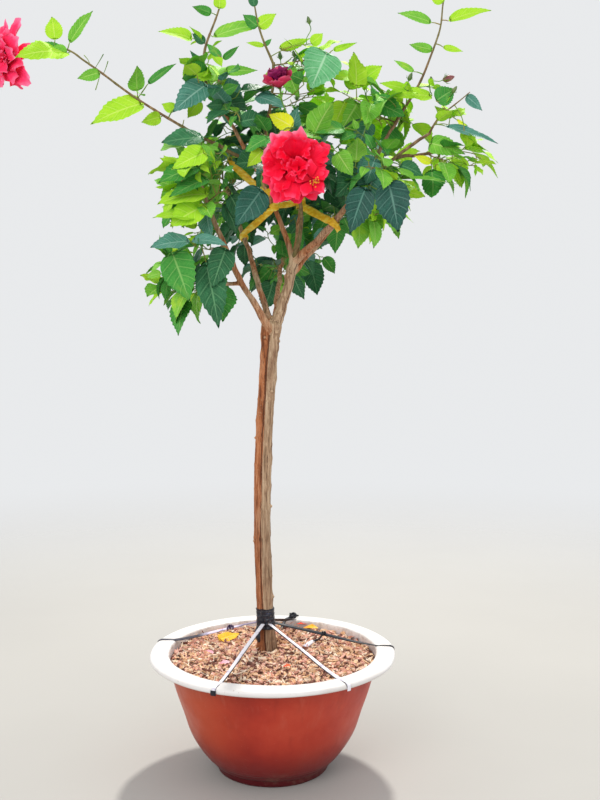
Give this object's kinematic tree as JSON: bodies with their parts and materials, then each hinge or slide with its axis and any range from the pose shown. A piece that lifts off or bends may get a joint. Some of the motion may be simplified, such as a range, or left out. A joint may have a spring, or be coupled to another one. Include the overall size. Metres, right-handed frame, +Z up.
{
  "type": "potted hibiscus standard",
  "caption": "Double red hibiscus grown as a standard: bare twin-stemmed trunk, open leafy head with long shoots, in a wide round bowl pot with a pale rim and husk mulch.",
  "frame": {"origin": "centre of the pot's flat underside, on the surface that it stands on", "axes": "+Z up, -Y towards the viewer, +X to the viewer's right"},
  "size_m": [1.0745, 0.5791, 1.6848],
  "materials": {
    "pot_red": "satin",
    "rim_white": "satin",
    "mulch": "matte",
    "bark": "matte",
    "bough_bark": "matte",
    "leaf_green": "satin",
    "leaf_young": "satin",
    "petal_red": "matte",
    "tape_black": "satin",
    "strap_black": "gloss",
    "ribbon_yellow": "matte"
  },
  "bodies": {
    "root": {"pot_body": "pot_red", "pot_rim": "rim_white", "mulch_bed": "mulch", "trunk": "bark", "bough_leader": "bough_bark", "bough_low_left": "bough_bark", "bough_high_left": "bough_bark", "bough_right": "bough_bark", "bough_centre": "bough_bark", "bough_middle": "bough_bark", "bough_back_low": "bough_bark", "bough_back_right": "bough_bark", "bough_side_left": "bough_bark", "shoot_far_left": "bough_bark", "shoot_top_left": "bough_bark", "shoot_top_centre": "bough_bark", "shoot_top_right": "bough_bark", "shoot_right": "bough_bark", "leaves_low_left": "leaf_green", "leaves_mid_left": "leaf_green", "leaves_upper_left": "leaf_green", "leaves_centre": "leaf_green", "leaves_top_centre": "leaf_green", "leaves_mid_right": "leaf_green", "leaves_upper_right": "leaf_green", "leaves_far_right": "leaf_green", "leaves_back_left": "leaf_green", "leaves_back_centre": "leaf_green", "leaves_back_right": "leaf_green", "leaves_back_low": "leaf_green", "spray_far_left": "leaf_young", "bloom_far_left": "petal_red", "spray_top_left": "leaf_young", "spray_top_centre": "leaf_young", "spray_top_right": "leaf_young", "spray_right": "leaf_young", "trunk_wrap": "tape_black", "strap_1": "strap_black", "strap_2": "strap_black", "strap_3": "strap_black", "strap_4": "strap_black", "strap_5": "strap_black", "tie_left": "ribbon_yellow", "tie_right": "ribbon_yellow"}
  },
  "joints": []
}
